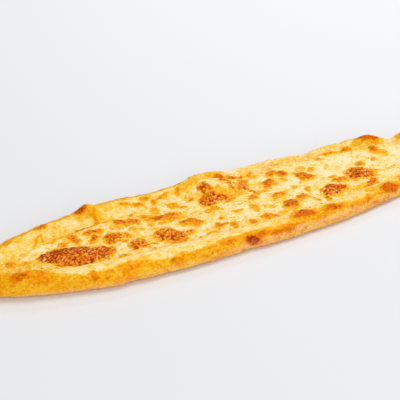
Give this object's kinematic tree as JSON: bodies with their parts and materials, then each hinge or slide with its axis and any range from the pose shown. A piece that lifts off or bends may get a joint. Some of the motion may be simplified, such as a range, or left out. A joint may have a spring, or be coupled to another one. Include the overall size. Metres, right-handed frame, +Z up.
{
  "type": "cheese pide",
  "caption": "Long boat-shaped flatbread with a thick rolled rim and pointed ends, its shallow trough filled with browned melted cheese; a baked savoury food to set on a board or platter.",
  "frame": {"origin": "middle of the flat underside's bounding box, on the surface that the loaf lies on", "axes": "+X along the loaf from its blunter end to its slimmer end, +Y across it to the side with the fold and the swelling, +Z up"},
  "size_m": [0.54, 0.1249, 0.0232],
  "materials": {
    "crust": "baked bread crust, matte golden orange on the wall, paler on top, floury under",
    "cheese": "melted cheese, pale cream yellow with toasted brown blisters, slightly oily"
  },
  "bodies": {
    "root": {"bread": "crust", "cheese": "cheese"}
  },
  "joints": []
}
